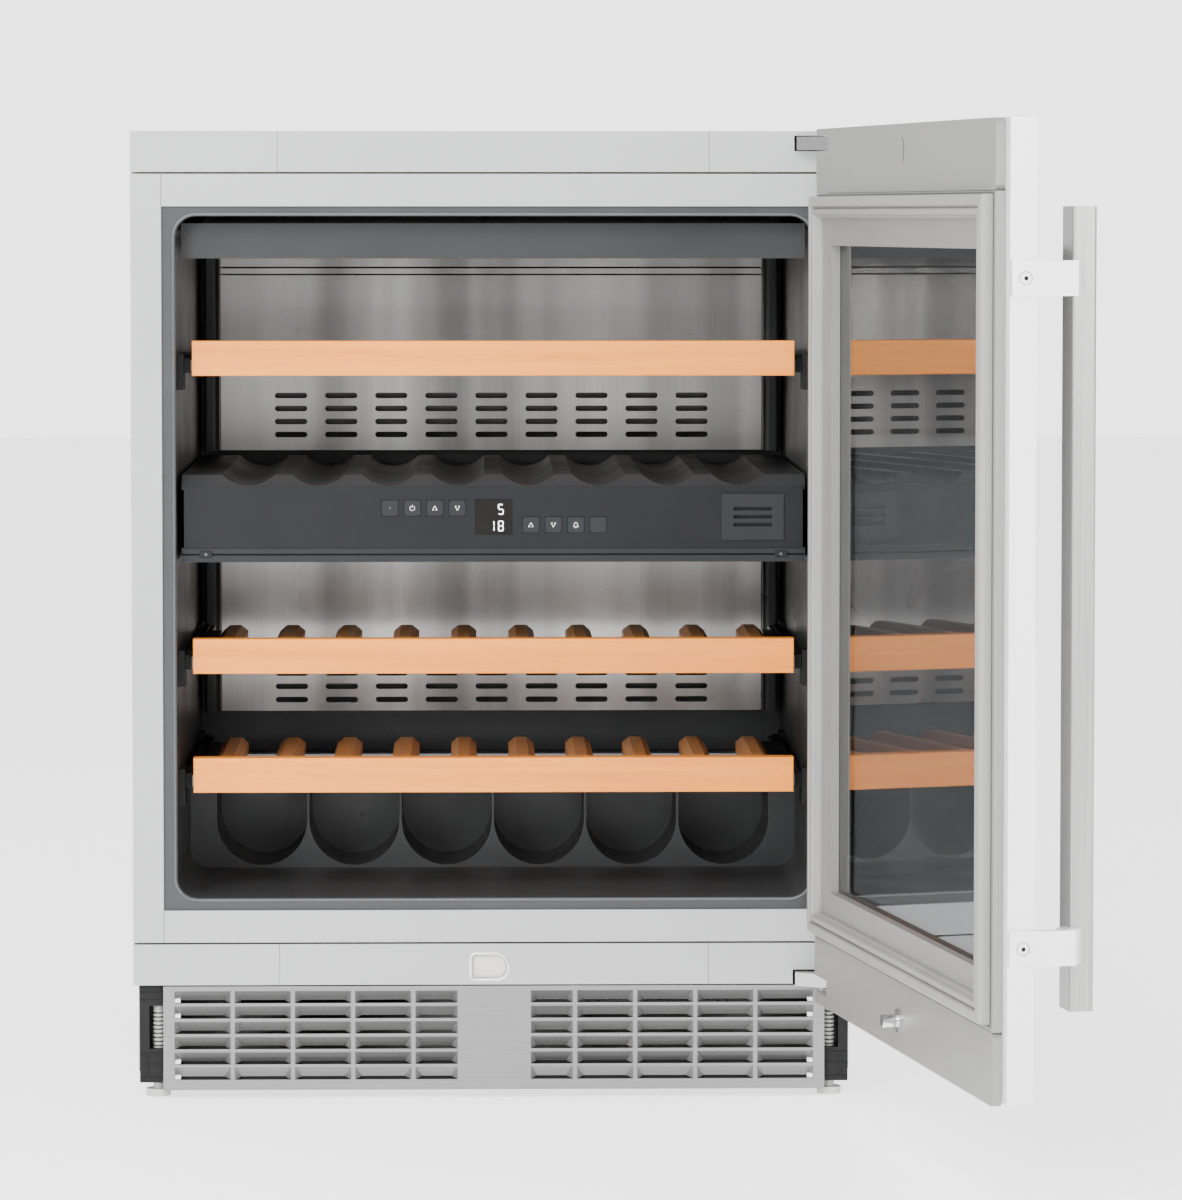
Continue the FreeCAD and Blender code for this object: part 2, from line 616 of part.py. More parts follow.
# ---------------------------------------------------------------- shelves
SHELVES = (("shelf_1", d.shelf_one), ("shelf_2", d.shelf_two), ("shelf_3", d.shelf_three))
fixed_rails = []
for label, low in SHELVES:
    strip_back = d.strip_front + d.strip_thick
    high = low + d.strip_tall
    strip = plate("XZ", d.strip_front, strip_back, [rect(-d.strip_half, d.strip_half, low, high)])
    fillet(strip, lambda edge: along("X")(edge) or along("Z")(edge), 1)
    wood = [strip]
    slat_top = high - d.slat_drop
    slat_low = slat_top - d.slat_tall
    for step in range(NUMBERS["slat_count"]):
        x = (d.strip_half - 24) * (2 * step / (NUMBERS["slat_count"] - 1) - 1)
        wide = d.slat_width / 2
        edge_z = slat_top - 5
        wood.append(plate("XZ", strip_back + 0.1, d.slat_end, [[
            (x - wide, slat_low), (x + wide, slat_low), (x + wide, edge_z),
            (x + wide - 6, slat_top), (x - wide + 6, slat_top), (x - wide, edge_z),
        ]]))
    finish_node(f"{label}_wood", wood)

    carrier = [block(-238, 238, y, y + 16, slat_low - 5.1, slat_low - 0.1) for y in (60, 180, 290)]
    for side in (-1, 1):
        x0, x1 = sorted((237.9 * side, 246.9 * side))
        carrier.append(block(x0, x1, strip_back + 0.2, 330, slat_low - 5.1, slat_low + 7))
    finish_node(f"{label}_carrier", [fuse(carrier)])

    middle = []
    rail_low = slat_low - 5
    rail_high = rail_low + d.rail_tall
    for side in (-1, 1):
        x0, x1 = sorted((247.3 * side, 251.3 * side))
        middle.append(block(x0, x1, d.rail_start, d.rail_end, rail_low + 1.5, rail_high - 1.5))
        x0, x1 = sorted((251.7 * side, 256.7 * side))
        fixed_rails.append(block(x0, x1, d.rail_start, d.rail_end, rail_low, rail_high))
        x0, x1 = sorted((256.8 * side, 261.8 * side))
        fixed_rails.append(block(x0, x1, d.rail_start - 6, d.rail_start + 24, rail_low - 14, rail_high + 4))
        fixed_rails.append(block(x0, x1, d.rail_end - 30, d.rail_end, rail_low - 8, rail_high + 4))
    finish_node(f"{label}_middle_rail", middle)
finish_node("shelf_guides", fixed_rails)

# ---------------------------------------------------------------- plinth and feet
grille = new_body()
pad(grille, "XZ", 1, 2.2, [rect(-d.grille_half, d.grille_half, d.grille_bottom, d.grille_top)])
pad(grille, "XZ", 2.2, 16, [rect(-d.grille_half, -d.grille_half + 1.2, d.grille_bottom, d.grille_top)])
pad(grille, "XZ", 2.2, 16, [rect(d.grille_half - 1.2, d.grille_half, d.grille_bottom, d.grille_top)])
pad(grille, "XZ", 2.2, 16, [rect(-28, 28, d.grille_top - 2.2, d.grille_top - 1)])
row_tops = [d.row_top - d.row_pitch * step for step in range(NUMBERS["row_count"])]
first_left = -d.grille_half + 9.2
first_right = d.grille_half - 9.2 - d.cell_pitch * 3 - d.cell_width
for first in (first_left, first_right):
    cells = [rect(first, first + d.cell_width, top_z - d.cell_tall, top_z) for top_z in row_tops]
    column = pocket(grille, "XZ", 0, 2.2, cells)
    row_of(grille, column, 4, d.cell_pitch)
narrow = []
for first in (-65.3, 30.3):
    narrow += [rect(first, first + d.narrow_width, top_z - d.cell_tall, top_z) for top_z in row_tops]
pocket(grille, "XZ", 0, 2.2, narrow)
for x0, x1 in ((-d.grille_half + 5, -28), (28, d.grille_half - 5)):
    for top_z in row_tops:
        pad(grille, "YZ", x0, x1, [[
            (2.2, top_z + 0.2), (2.2, top_z + 1.6), (9.2, top_z - 6.4), (9.2, top_z - 7.8),
        ]])
finish_node("plinth_grille", [grille])

brackets = []
for side in (-1, 1):
    x0, x1 = sorted((275 * side, 294 * side))
    w0, w1 = sorted((274 * side, 286 * side))
    arm = cut(block(x0, x1, 8, 32, 12, 92.6), [
        block(w0, w1, 7, 33, 40, 76),
        rod("Z", d.foot_half * side, d.foot_front, 8, d.spindle_radius + 0.08, 90)])
    y0, y1 = d.foot_back - 13, d.foot_back + 13
    rear_arm = cut(block(x0, x1, y0, y1, 62, 92.6), [
        rod("Z", d.foot_half * side, d.foot_back, 40, d.spindle_radius + 0.08, 60)])
    brackets += [arm, rear_arm]
finish_node("foot_brackets", brackets)

for label, x, y in (
    ("foot_front_left", -d.foot_half, d.foot_front), ("foot_front_right", d.foot_half, d.foot_front),
    ("foot_rear_left", -d.foot_half, d.foot_back), ("foot_rear_right", d.foot_half, d.foot_back),
):
    shaft = rod("Z", x, y, d.pad_tall - 1, d.spindle_radius, d.spindle_top - d.pad_tall)
    grooves = []
    for step in range(9):
        ring = cut(rod("Z", x, y, 41 + 3.4 * step, 6, 1.5), [rod("Z", x, y, 40.5 + 3.4 * step, 3.5, 2.5)])
        grooves.append(ring)
    threaded = cut(shaft, grooves)
    finish_node(label, [fuse([rod("Z", x, y, 0, d.pad_radius, d.pad_tall), threaded])])

# ---------------------------------------------------------------- hinge arms with their pins
arms = []
for low in (d.arm_high, d.arm_low):
    px, py = d.pivot_x, d.pivot_y
    arm = new_body()
    pad(arm, "XY", low, low + d.arm_tall, [[
        (249, 18), (271, 18), (271, -6), (px + 5, py + 8), (px + 5, py - 2), (px + 2, py - 5),
        (px - 2, py - 5), (px - 6, py - 1), (249, -12),
    ]])
    pad(arm, "XY", low - 4, low + d.arm_tall + 3, [], circles=[(px, py, d.pin_radius)])
    arms.append(arm)
finish_node("hinge_arms", arms)

# ---------------------------------------------------------------- door
skin = 1.2
outer, mid = d.door_outer, d.door_mid
door = new_body()
pad(door, "XZ", outer, outer + skin, [
    rect(-half, half, d.door_bottom, d.door_top),
    rect(-d.window_half, d.window_half, d.window_bottom, d.window_top),
])
pad(door, "XZ", outer + skin, mid, [
    rect(-half, half, d.door_bottom, d.door_top),
    rect(-half + skin, half - skin, d.door_bottom + skin, d.door_top - skin),
])
pad(door, "XZ", mid - skin, mid, [
    rect(-half, half, d.door_bottom, d.door_top),
    rect(-half + 15, half - 15, d.door_bottom + 15, d.door_top - 15),
])
for low, high in ((d.door_bottom + skin, d.arm_low + d.arm_tall + 8), (d.arm_high - 8, d.door_top - skin)):
    pad(door, "XZ", outer + skin, mid, [rect(240, half - skin, low, high)])
bore = d.pin_radius + d.pin_play
for low in (d.arm_low, d.arm_high):
    z0, z1 = low - 1, low + d.arm_tall + 1
    pocket(door, "XY", z0, z1, [rect(244, half + 1, outer + skin, mid + 1)])
    pocket(door, "XY", z0, z1, [rect(d.pivot_x - 4, half + 1, outer - 1, mid + 1)])
    pocket(door, "XY", low - 4.5, low + d.arm_tall + 3.5, [], circles=[(d.pivot_x, d.pivot_y, bore)])
finish_node("door_frame", [door], on_door=True)

for label, low, high, arm in (
    ("door_cover_top", d.border_top + 0.4, d.cover_high, d.arm_high),
    ("door_cover_bottom", d.cover_low, d.border_bottom - 0.4, d.arm_low),
):
    strip = plate("XZ", mid + 0.1, d.cover_face, [[
        (-d.cover_half + 4, low), (d.cover_half, low), (d.cover_half, high), (-d.cover_half + 4, high),
        (-d.cover_half, high - 4), (-d.cover_half, low + 4),
    ]])
    pocket(strip, "XY", arm - 1, arm + d.arm_tall + 1, [rect(244, d.cover_half + 1, mid - 1, 0)])
    finish_node(label, [strip], on_door=True)

border = plate("XZ", mid + 0.1, d.cover_face, [
    rect(-d.cover_half, d.cover_half, d.border_bottom, d.border_top),
    rect(-d.window_half, d.window_half, d.window_bottom, d.window_top),
])
finish_node("glass_border", [border], on_door=True)

pane = rect(-d.pane_half, d.pane_half, d.pane_bottom, d.pane_top)
outer_pane = plate("XZ", outer + skin + 0.1, outer + skin + 0.1 + d.pane_thick, [pane])
inner_pane = plate("XZ", mid - 0.1 - d.pane_thick, mid - 0.1, [pane])
finish_node("glass_panes", [outer_pane, inner_pane], on_door=True)

spacer = plate("XZ", outer + skin + 0.2 + d.pane_thick, mid - 0.2 - d.pane_thick, [
    pane,
    rect(-d.pane_half + 10, d.pane_half - 10, d.pane_bottom + 10, d.pane_top - 10),
])
finish_node("glass_spacer", [spacer], on_door=True)

gasket = new_body()
g_half, g_low, g_high = d.gasket_half, d.gasket_bottom, d.gasket_top
band = d.gasket_band
pad(gasket, "XZ", d.cover_face + 0.1, -4, [
    rect(-g_half, g_half, g_low, g_high),
    rect(-g_half + band, g_half - band, g_low + band, g_high - band),
])
pad(gasket, "XZ", -4, d.gasket_face, [
    rect(-g_half + 2, g_half - 2, g_low + 2, g_high - 2),
    rect(-g_half + 13, g_half - 13, g_low + 13, g_high - 13),
])
finish_node("door_gasket", [gasket], on_door=True)

bar = plate("XY", d.bar_bottom, d.bar_top, [rect(d.bar_left, d.bar_right, d.bar_far, d.bar_near)])
fillet(bar, along("Z"), 2)
finish_node("handle_bar", [bar], on_door=True)

holders = []
edge_x = -half - 0.1
touch = d.bar_left - 0.1
near = d.bar_near + 0.1
for low, high in ((188, 213.8), (672.5, 698)):
    holders.append(plate("XY", low, high, [[
        (edge_x - 6, mid), (edge_x - 6, d.bar_near + 0.5), (touch, d.bar_near - 8.3), (touch, near),
        (touch + 7, near), (touch + 7, near + 5), (edge_x, -52), (edge_x, mid),
    ]]))
    middle = (low + high) / 2
    socket = doc.addObject("Part::Prism", fresh("socket"))
    socket.Polygon = 6
    socket.Placement = Placement(Vector(), TURNS["X"])
    bind(socket, "Circumradius", 1.9)
    bind(socket, "Height", 3)
    for letter, value in (("x", edge_x - 9), ("y", -27.5), ("z", middle)):
        bind(socket, f"Placement.Base.{letter}", value)
    holders.append(cut(rod("X", edge_x - 7.6, -27.5, middle, 3.6, 1.5), [socket]))
finish_node("handle_brackets", holders, on_door=True)

catch = fuse([
    rod("Y", -4, d.cover_face + 0.1, 108, 9, 2),
    rod("Y", -4, d.cover_face + 1, 108, 5, 13),
])
finish_node("catch_pin", [catch], on_door=True)

# ---------------------------------------------------------------- check and export
doc.recompute()
for obj in doc.Objects:
    if "Invalid" in obj.State or "Error" in obj.State:
        raise SystemExit(f"{obj.Name} ({obj.Label}) is {obj.State}")
for label, node in nodes.items():
    shape = node.Shape
    if shape.isNull() or not shape.isValid():
        raise SystemExit(f"{label} has a bad shape")
    shape.exportStep(f"parts/{label}.step")
    print(label, len(shape.Solids), "solids", round(shape.Volume / 1000), "cm3")
print(len(nodes), "nodes")
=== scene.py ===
import json
import math

import bmesh
import bpy
from mathutils import Euler, Matrix, Vector


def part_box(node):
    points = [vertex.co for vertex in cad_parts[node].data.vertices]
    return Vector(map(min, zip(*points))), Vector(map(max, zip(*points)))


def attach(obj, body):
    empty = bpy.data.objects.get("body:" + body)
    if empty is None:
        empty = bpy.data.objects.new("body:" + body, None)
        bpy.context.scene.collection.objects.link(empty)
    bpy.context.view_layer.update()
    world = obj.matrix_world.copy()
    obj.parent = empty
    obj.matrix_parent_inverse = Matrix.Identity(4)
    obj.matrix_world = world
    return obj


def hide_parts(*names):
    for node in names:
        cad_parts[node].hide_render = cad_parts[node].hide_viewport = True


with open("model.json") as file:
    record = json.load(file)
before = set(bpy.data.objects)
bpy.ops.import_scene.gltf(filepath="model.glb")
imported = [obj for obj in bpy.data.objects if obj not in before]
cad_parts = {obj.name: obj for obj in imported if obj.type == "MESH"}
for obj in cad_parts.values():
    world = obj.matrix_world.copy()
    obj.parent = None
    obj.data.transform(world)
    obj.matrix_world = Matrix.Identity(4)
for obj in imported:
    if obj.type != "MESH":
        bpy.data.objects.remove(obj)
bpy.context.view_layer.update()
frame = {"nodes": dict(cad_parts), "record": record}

nodes = frame["nodes"]
MM = 0.001
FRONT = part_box("inner_frame")[0].y
for joint in frame["record"]["behaviour"]["joints"]:
    if joint["name"] == "door_hinge":
        TURN = -math.radians(joint["range_deg"][0])
        PIVOT = Vector(joint["pos_m"])
STRIP_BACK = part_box("shelf_1_wood")[0].y + 18.5 * MM


# ------------------------------------------------------------------ materials
def material(name, color=(0.5, 0.5, 0.5), metallic=0.0, roughness=0.5, **extra):
    """A new node material with its principled shader's own sockets set."""
    mat = bpy.data.materials.new(name)
    mat.use_nodes = True
    shader = mat.node_tree.nodes["Principled BSDF"]
    shader.inputs["Base Color"].default_value = (*color, 1)
    shader.inputs["Metallic"].default_value = metallic
    shader.inputs["Roughness"].default_value = roughness
    for socket, value in extra.items():
        shader.inputs[socket.replace("_", " ")].default_value = value
    return mat


class Graph:
    """Short calls for adding nodes to one material."""

    def __init__(self, mat):
        self.tree = mat.node_tree
        self.shader = self.tree.nodes["Principled BSDF"]

    def new(self, kind, values=None, **attributes):
        node = self.tree.nodes.new(kind)
        for key, value in attributes.items():
            setattr(node, key, value)
        for socket, value in (values or {}).items():
            node.inputs[socket].default_value = value
        return node

    def link(self, source, target):
        self.tree.links.new(source, target)

    def coords(self, scale):
        """Object coordinates in metres, stretched by scale along each axis."""
        place = self.new("ShaderNodeTexCoord")
        mapping = self.new("ShaderNodeMapping", {"Scale": scale})
        self.link(place.outputs["Object"], mapping.inputs["Vector"])
        return mapping.outputs["Vector"]

    def noise(self, vector, detail, rough, distort=0.0):
        node = self.new("ShaderNodeTexNoise", {
            "Scale": 1.0, "Detail": detail, "Roughness": rough, "Distortion": distort})
        self.link(vector, node.inputs["Vector"])
        return node.outputs["Fac"]

    def ramp(self, value, stops):
        node = self.new("ShaderNodeValToRGB")
        ramp = node.color_ramp
        while len(ramp.elements) < len(stops):
            ramp.elements.new(0.5)
        for element, (place, color) in zip(ramp.elements, stops):
            element.position = place
            element.color = (*color, 1)
        self.link(value, node.inputs["Fac"])
        return node.outputs["Color"]

    def spread(self, value, low, high, out_low, out_high):
        node = self.new("ShaderNodeMapRange", {
            "From Min": low, "From Max": high, "To Min": out_low, "To Max": out_high})
        self.link(value, node.inputs["Value"])
        return node.outputs["Result"]

    def mix(self, factor, one, two, blend="MIX"):
        node = self.new("ShaderNodeMix", data_type="RGBA", blend_type=blend)
        for socket, value in ((0, factor), (6, one), (7, two)):
            if isinstance(value, (int, float)):
                node.inputs[socket].default_value = value
            elif isinstance(value, tuple):
                node.inputs[socket].default_value = (*value, 1)
            else:
                self.link(value, node.inputs[socket])
        return node.outputs[2]

    def bump(self, height, strength, distance, normal=None):
        node = self.new("ShaderNodeBump", {"Strength": strength, "Distance": distance})
        self.link(height, node.inputs["Height"])
        if normal is not None:
            self.link(normal, node.inputs["Normal"])
        return node.outputs["Normal"]

    def set(self, **sockets):
        for socket, source in sockets.items():
            self.link(source, self.shader.inputs[socket.replace("_", " ")])


def brushed(name, color, along, roughness=0.3, deep=0.25, metallic=1.0, streaks_and_reflections=0.0):
    """Brushed metal whose fine scratches run along one axis."""
    mat = material(name, color, metallic, roughness)
    graph = Graph(mat)
    stretch = {"X": (6, 900, 900), "Y": (900, 6, 900), "Z": (900, 900, 6)}[along]
    lines = graph.noise(graph.coords(stretch), 4.0, 0.7)
    broad = graph.noise(graph.coords(tuple(value / 12 for value in stretch)), 2.0, 0.5)
    cloud = graph.noise(graph.coords((9, 9, 9)), 2.0, 0.5)
    dark = tuple(value * (1 - deep) for value in color)
    light = tuple(min(1.0, value * (1 + deep * 0.55)) for value in color)
    tone = graph.ramp(lines, [(0.3, dark), (0.7, light)])
    # broad soft bands darken the tone: painted reflections of the surroundings on the upright steel panels,
    # streaks on the galvanised sheet
    if streaks_and_reflections:
        bands = graph.noise(graph.coords(tuple(value / 70 for value in stretch)), 2.0, 0.6)
        shade = graph.ramp(bands, [(0.35, (1 - streaks_and_reflections,) * 3), (0.65, (1.0, 1.0, 1.0))])
        tone = graph.mix(1.0, tone, shade, "MULTIPLY")
    graph.set(Base_Color=tone)
    rough = graph.spread(cloud, 0.3, 0.7, roughness - 0.015, roughness + 0.02)
    graph.set(Roughness=rough)
    fine = graph.bump(lines, 0.1, 0.0001)
    graph.set(Normal=graph.bump(broad, 0.02, 0.0001, fine))
    graph.shader.inputs["Anisotropic"].default_value = 0.5
    return mat


def painted(name, color, roughness=0.42, grain=0.0002, coat=0.0, size=1400):
    """Powder-coated or lacquered sheet with a slight orange peel."""
    mat = material(name, color, 0.0, roughness, Coat_Weight=coat, Coat_Roughness=0.2)
    graph = Graph(mat)
    peel = graph.noise(graph.coords((size, size, size)), 2.0, 0.5)
    cloud = graph.noise(graph.coords((7, 7, 7)), 3.0, 0.5)
    tint = tuple(value * 0.955 for value in color)
    graph.set(Base_Color=graph.ramp(cloud, [(0.3, tint), (0.7, color)]))
    graph.set(Roughness=graph.spread(cloud, 0.3, 0.7, roughness - 0.04, roughness + 0.05))
    graph.set(Normal=graph.bump(peel, 0.16, grain))
    return mat


def moulded(name, color, roughness=0.45, size=900, strength=0.22, specular=0.5):
    """Moulded plastic with a fine leather-like grain and faint handling marks."""
    mat = material(name, color, 0.0, roughness, Specular_IOR_Level=specular)
    graph = Graph(mat)
    cells = graph.new("ShaderNodeTexVoronoi", {"Scale": 1.0, "Randomness": 1.0})
    graph.link(graph.coords((size, size, size)), cells.inputs["Vector"])
    cloud = graph.noise(graph.coords((12, 12, 12)), 4.0, 0.6)
    tint = tuple(min(1.0, value * 1.12 + 0.002) for value in color)
    graph.set(Base_Color=graph.ramp(cloud, [(0.3, color), (0.75, tint)]))
    graph.set(Roughness=graph.spread(cloud, 0.3, 0.7, roughness - 0.05, roughness + 0.07))
    graph.set(Normal=graph.bump(cells.outputs["Distance"], strength, 0.00025))
    return mat


def beech(name):
    """Steamed beech: grain across on the front strip, lengthwise on the slats behind it."""
    mat = material(name, (0.62, 0.32, 0.14), 0.0, 0.42, Specular_IOR_Level=0.3)
    graph = Graph(mat)
    split = graph.new("ShaderNodeSeparateXYZ")
    graph.link(graph.coords((1, 1, 1)), split.inputs["Vector"])
    behind = graph.new("ShaderNodeMath", {1: STRIP_BACK}, operation="GREATER_THAN")
    graph.link(split.outputs["Y"], behind.inputs[0])

    def either(scale_across, scale_along):
        across = graph.coords(scale_across)
        lengthwise = graph.coords(scale_along)
        chosen = graph.new("ShaderNodeMix", data_type="VECTOR")
        graph.link(behind.outputs[0], chosen.inputs[0])
        graph.link(across, chosen.inputs[4])
        graph.link(lengthwise, chosen.inputs[5])
        return chosen.outputs[1]

    grain = graph.noise(either((4, 60, 110), (110, 4, 110)), 5.0, 0.6, 0.35)
    fine = graph.noise(either((30, 500, 900), (900, 30, 900)), 3.0, 0.6)
    broad = graph.noise(either((1.2, 9, 14), (14, 1.2, 14)), 2.0, 0.5)
    base = graph.ramp(grain, [
        (0.28, (0.72, 0.215, 0.018)), (0.5, (0.80, 0.262, 0.026)), (0.76, (0.86, 0.305, 0.038))])
    shade = graph.ramp(broad, [(0.3, (0.90, 0.86, 0.80)), (0.7, (1.0, 1.0, 1.0))])
    base = graph.mix(1.0, base, shade, "MULTIPLY")
    flecks = graph.new("ShaderNodeTexVoronoi", {"Scale": 1.0, "Randomness": 1.0})
    graph.link(either((110, 700, 700), (700, 110, 700)), flecks.inputs["Vector"])
    fleck = graph.ramp(flecks.outputs["Distance"], [(0.08, (0.80, 0.70, 0.60)), (0.17, (1.0, 1.0, 1.0))])
    base = graph.mix(0.55, base, graph.mix(1.0, base, fleck, "MULTIPLY"))
    pores = graph.ramp(fine, [(0.30, (0.86, 0.80, 0.72)), (0.44, (1.0, 1.0, 1.0))])
    base = graph.mix(1.0, base, pores, "MULTIPLY")
    pale = graph.mix(0.5, base, (0.66, 0.36, 0.15))
    base = graph.mix(behind.outputs[0], base, pale)
    graph.set(Base_Color=base)
    graph.set(Roughness=graph.spread(grain, 0.3, 0.7, 0.36, 0.5))
    graph.set(Normal=graph.bump(fine, 0.1, 0.0002))
    return mat


MATS = {
    "frame_grey": painted("frame_lacquer", (0.385, 0.39, 0.397), 0.42, coat=0.1),
    "shell": painted("shell_coating", (0.34, 0.345, 0.35), 0.5),
    "galvanised": brushed("galvanised_sheet", (0.42, 0.43, 0.44), "X", 0.5, 0.2, streaks_and_reflections=0.25),
    "liner": moulded("liner_abs", (0.036, 0.038, 0.040), 0.32, strength=0.05, specular=0.3),
    "trim": painted("door_cover_grey", (0.20, 0.197, 0.193), 0.45, size=1800),
    # the lip's base is lighter than the liner's: a painted highlight along the bead
    "lip": moulded("liner_lip", (0.052, 0.055, 0.058), 0.2, strength=0.02, specular=0.5),
    "black": moulded("black_nylon", (0.008, 0.008, 0.0085), 0.5, strength=0.12, specular=0.15),
    "control": moulded("fascia_abs", (0.0085, 0.0098, 0.011), 0.45, size=2600, strength=0.05, specular=0.12),
    "header": moulded("header_abs", (0.024, 0.025, 0.026), 0.42, size=2600, strength=0.05, specular=0.18),
    "button": moulded("button_abs", (0.013, 0.0145, 0.016), 0.45, size=2600, strength=0.05, specular=0.16),
    "display": moulded("display_lens", (0.008, 0.0068, 0.0066), 0.2, size=2600, strength=0.01, specular=0.1),
    # the upright panels' strong bands are painted reflections of the surroundings
    "steel_z": brushed("brushed_steel_upright", (0.44, 0.425, 0.41), "Z", 0.27, 0.12, streaks_and_reflections=0.62),
    "handle": brushed("brushed_steel_bar", (0.38, 0.375, 0.37), "Z", 0.3, 0.2, streaks_and_reflections=0.1),
    "grille": brushed("grille_steel", (0.225, 0.224, 0.224), "X", 0.38, 0.16, metallic=0.7),
    "door": brushed("door_steel", (0.90, 0.90, 0.905), "Z", 0.42, 0.04, metallic=0.7),
    "bright": brushed("plated_steel", (0.72, 0.72, 0.73), "X", 0.12, 0.06),
    "hinge": brushed("hinge_plating", (0.42, 0.42, 0.43), "X", 0.14, 0.1),
    "guide": brushed("guide_steel", (0.12, 0.122, 0.125), "Y", 0.3, 0.14),
    "aluminium": brushed("coil_aluminium", (0.6, 0.61, 0.62), "X", 0.35, 0.15),
    "enamel": painted("compressor_enamel", (0.012, 0.012, 0.013), 0.3, coat=0.4),
    "beech": beech("beech"),
    "gasket": moulded("gasket_vinyl", (0.22, 0.217, 0.213), 0.5, size=1500, strength=0.06),
    "foot": moulded("foot_nylon", (0.42, 0.42, 0.41), 0.45, strength=0.1),
    "foam": painted("foam_skin", (0.6, 0.5, 0.28), 0.9, grain=0.001, size=300),
    # painted shade: dark rings in the threads' roots, the gasket's shadow line, the cover's recess crescent
    # and round the screw heads; also the fan button's own dark dot
    "shade_and_dark": moulded("painted_shade_and_dark_dot", (0.06, 0.06, 0.06), 0.6, size=2600, strength=0.05),
    "clip": moulded("clip_nylon", (0.72, 0.72, 0.72), 0.5, strength=0.1),
}

glass = material("glazing", (0.26, 0.265, 0.27), 0.0, 0.02, IOR=1.45, Transmission_Weight=1.0)
graph = Graph(glass)
film = graph.noise(graph.coords((14, 14, 14)), 4.0, 0.6)
graph.set(Roughness=graph.spread(film, 0.35, 0.75, 0.0, 0.03))
MATS["glass"] = glass

lens = material("latch_lens", (0.86, 0.85, 0.80), 0.0, 0.12, IOR=1.45, Transmission_Weight=0.35)
graph = Graph(lens)
frost = graph.noise(graph.coords((320, 320, 320)), 3.0, 0.6)
graph.set(Normal=graph.bump(frost, 0.25, 0.0004))
MATS["lens"] = lens

ink = material("print_white", (0.85, 0.86, 0.87), 0.0, 0.5)
graph = Graph(ink)
speck = graph.noise(graph.coords((3000, 3000, 3000)), 2.0, 0.5)
graph.set(Base_Color=graph.ramp(speck, [(0.3, (0.72, 0.73, 0.74)), (0.6, (0.88, 0.89, 0.9))]))
MATS["ink"] = ink

glow = material("display_digit", (0.9, 0.95, 1.0), 0.0, 0.4)
graph = Graph(glow)
dots = graph.noise(graph.coords((1800, 1800, 1800)), 1.0, 0.5)
graph.set(Emission_Color=graph.ramp(dots, [(0.3, (0.8, 0.88, 1.0)), (0.6, (0.97, 0.99, 1.0))]))
glow.node_tree.nodes["Principled BSDF"].inputs["Emission Strength"].default_value = 1.6
MATS["glow"] = glow

LOOKS = {
    "side_panels": "shell", "top_panel": "shell", "rear_panel": "galvanised", "base_pan": "galvanised",
    "inner_liner": "liner", "insulation_foam": "foam", "back_panel_upper": "steel_z",
    "back_panel_lower": "steel_z", "upper_fascia": "header", "evaporator_plates": "enamel",
    "circulation_fan_upper": "black", "circulation_fan_lower": "black", "condenser_fan": "black",
    "compressor": "enamel", "condenser": "aluminium", "power_inlet": "black",
    "top_rail": "frame_grey", "bottom_rail": "frame_grey", "inner_frame": "frame_grey",
    "latch_receiver": "bright", "control_fascia": "control", "display_unit": "display",
    "filter_cover": "button", "divider_cradle": "header", "divider_base": "button",
    "shelf_guides": "black", "plinth_grille": "grille", "foot_brackets": "black",
    "foot_front_left": "foot", "foot_front_right": "foot", "foot_rear_left": "foot",
    "foot_rear_right": "foot", "hinge_arms": "hinge", "door_frame": "door",
    "door_cover_top": "trim", "door_cover_bottom": "trim", "glass_border": "trim",
    "glass_panes": "glass", "glass_spacer": "black", "door_gasket": "gasket",
    "handle_bar": "handle", "handle_brackets": "door", "catch_pin": "bright",
}
for number in (1, 2, 3):
    LOOKS[f"shelf_{number}_wood"] = "beech"
    LOOKS[f"shelf_{number}_carrier"] = "guide"
    LOOKS[f"shelf_{number}_middle_rail"] = "guide"
for name in nodes:
    if name.startswith("button_"):
        LOOKS[name] = "button"


def dress(obj, key):
    """Give every slot of the object one material."""
    if not obj.data.materials:
        obj.data.materials.append(MATS[key])
    for index in range(len(obj.data.materials)):
        obj.data.materials[index] = MATS[key]


for name, key in LOOKS.items():
    dress(nodes[name], key)


def add(name, bm, look, body, smooth=False):
    """Make an object of a bmesh, dress it and let it ride on a body."""
    bmesh.ops.recalc_face_normals(bm, faces=bm.faces)
    mesh = bpy.data.meshes.new(name)
    bm.to_mesh(mesh)
    bm.free()
    obj = bpy.data.objects.new(name, mesh)
    bpy.context.scene.collection.objects.link(obj)
    mesh.materials.append(MATS[look])
    if smooth:
        for face in mesh.polygons:
            face.use_smooth = True
    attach(obj, body)
    return obj


def bevelled(obj, width, angle=35):
    """A small bevel, in millimetres, on an object's sharp edges."""
    bevel = obj.modifiers.new("edge", "BEVEL")
    bevel.width = width * MM
    bevel.segments = 2
    bevel.limit_method = "ANGLE"
    bevel.angle_limit = math.radians(angle)


def cab(x, y, z):
    """A point given in millimetres from the cabinet's front plane."""
    return Vector((x * MM, FRONT + y * MM, z * MM))


def loop_of(bm, points):
    return [bm.verts.new(point) for point in points]


def band(bm, one, two):
    """The faces between two closed loops of the same length."""
    for index in range(len(one)):
        following = (index + 1) % len(one)
        bm.faces.new((one[index], one[following], two[following], two[index]))


def extrude(bm, points, depth):
    """A prism: the outline's points and the same points moved by depth."""
    near = loop_of(bm, points)
    far = loop_of(bm, [point + depth for point in points])
    bm.faces.new(near)
    bm.faces.new(far)
    band(bm, near, far)


def slab(bm, x0, x1, z0, z1, y, depth):
    """A box with its front at y, in millimetres from the cabinet's front plane."""
    corners = [cab(x0, y, z0), cab(x1, y, z0), cab(x1, y, z1), cab(x0, y, z1)]
    extrude(bm, corners, Vector((0, depth * MM, 0)))


